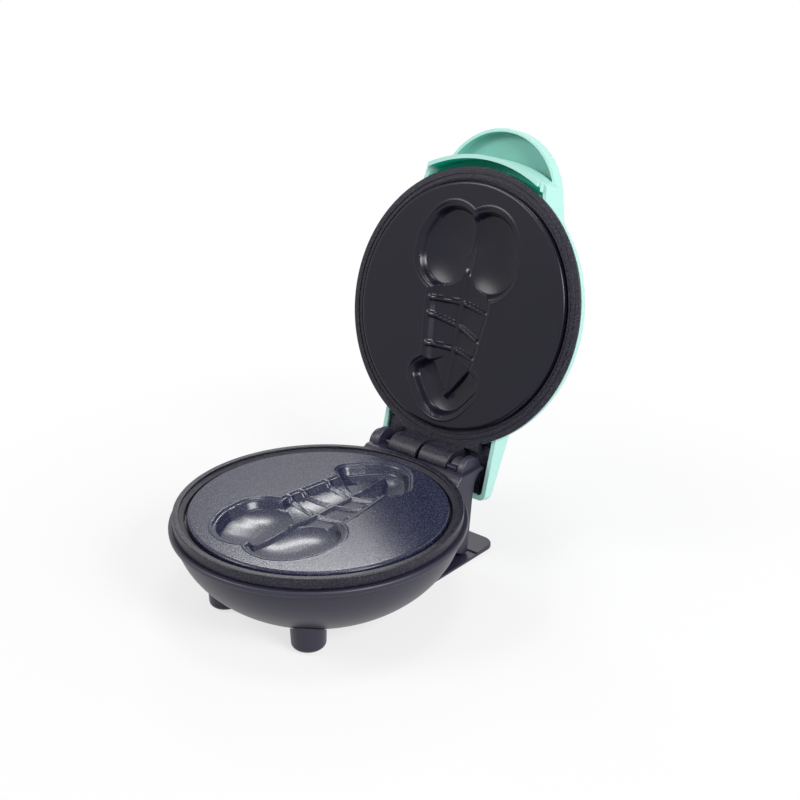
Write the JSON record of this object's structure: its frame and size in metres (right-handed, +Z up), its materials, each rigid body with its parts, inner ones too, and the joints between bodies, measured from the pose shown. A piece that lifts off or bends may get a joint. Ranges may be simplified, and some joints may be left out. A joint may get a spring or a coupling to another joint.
{
  "type": "mini waffle maker",
  "caption": "Small round waffle maker with a hinged dome lid that stands open, moulded non-stick plates, a bowl-shaped base on pegs and a rear stand that carries the hinge.",
  "frame": {"origin": "on the table, under the middle of the bounding box as the lid stands open", "axes": "+Z up; +Y towards the hinge and the rear stand; -Y towards the front feet; the hinge pin lies along X"},
  "size_m": [0.125, 0.1928, 0.1811],
  "materials": {
    "mint_shell": "satin mint plastic",
    "satin_black": "satin near-black plastic",
    "textured_black": "fine-textured near-black plastic",
    "non_stick": "cast aluminium with a speckled non-stick coat",
    "non_stick_dark": "cast aluminium with a semi-gloss non-stick coat",
    "steel": "bright zinc-plated or rolled steel",
    "rubber": "black rubber",
    "ceramic": "ceramic or phenolic, off-white",
    "sleeve": "glass-fibre sleeve over a lead",
    "lens": "translucent lens",
    "lamp_glass": "clear glass"
  },
  "bodies": {
    "base": {"lower_shell": "satin_black", "rear_stand": "satin_black", "stand_cover": "satin_black", "rear_foot": "satin_black", "front_foot_left": "satin_black", "front_foot_right": "satin_black", "lower_ring": "textured_black", "lower_plate": "non_stick", "lower_heater": "steel", "lower_heat_pan": "steel", "hinge_pin": "steel", "lower_screw_1": "steel", "lower_screw_2": "steel", "lower_screw_3": "steel", "stand_screw_left": "steel", "stand_screw_right": "steel", "cover_screw_left": "steel", "cover_screw_right": "steel", "cord_bushing": "rubber", "front_pad_left": "rubber", "front_pad_right": "rubber", "rear_pad_left": "rubber", "rear_pad_right": "rubber", "hinge_pin_cap": "rubber", "thermostat": "ceramic", "thermal_fuse": "ceramic", "terminal_block": "ceramic", "heater_lead_left": "sleeve", "heater_lead_right": "sleeve"},
    "lid": {"lid_frame": "textured_black", "upper_plate": "non_stick_dark", "upper_heater": "steel", "upper_heat_pan": "steel", "upper_screw_1": "steel", "upper_screw_2": "steel", "upper_screw_3": "steel", "lid_shell": "mint_shell", "tail_screw_left": "steel", "tail_screw_right": "steel", "indicator_lens": "lens", "indicator_lamp": "lamp_glass"}
  },
  "joints": [
    {"name": "lid_hinge", "type": "hinge", "parent": "base", "child": "lid", "pos_m": [0, 0.03583, 0.0403], "axis": [1, 0, 0], "range_deg": [0, 106]}
  ]
}
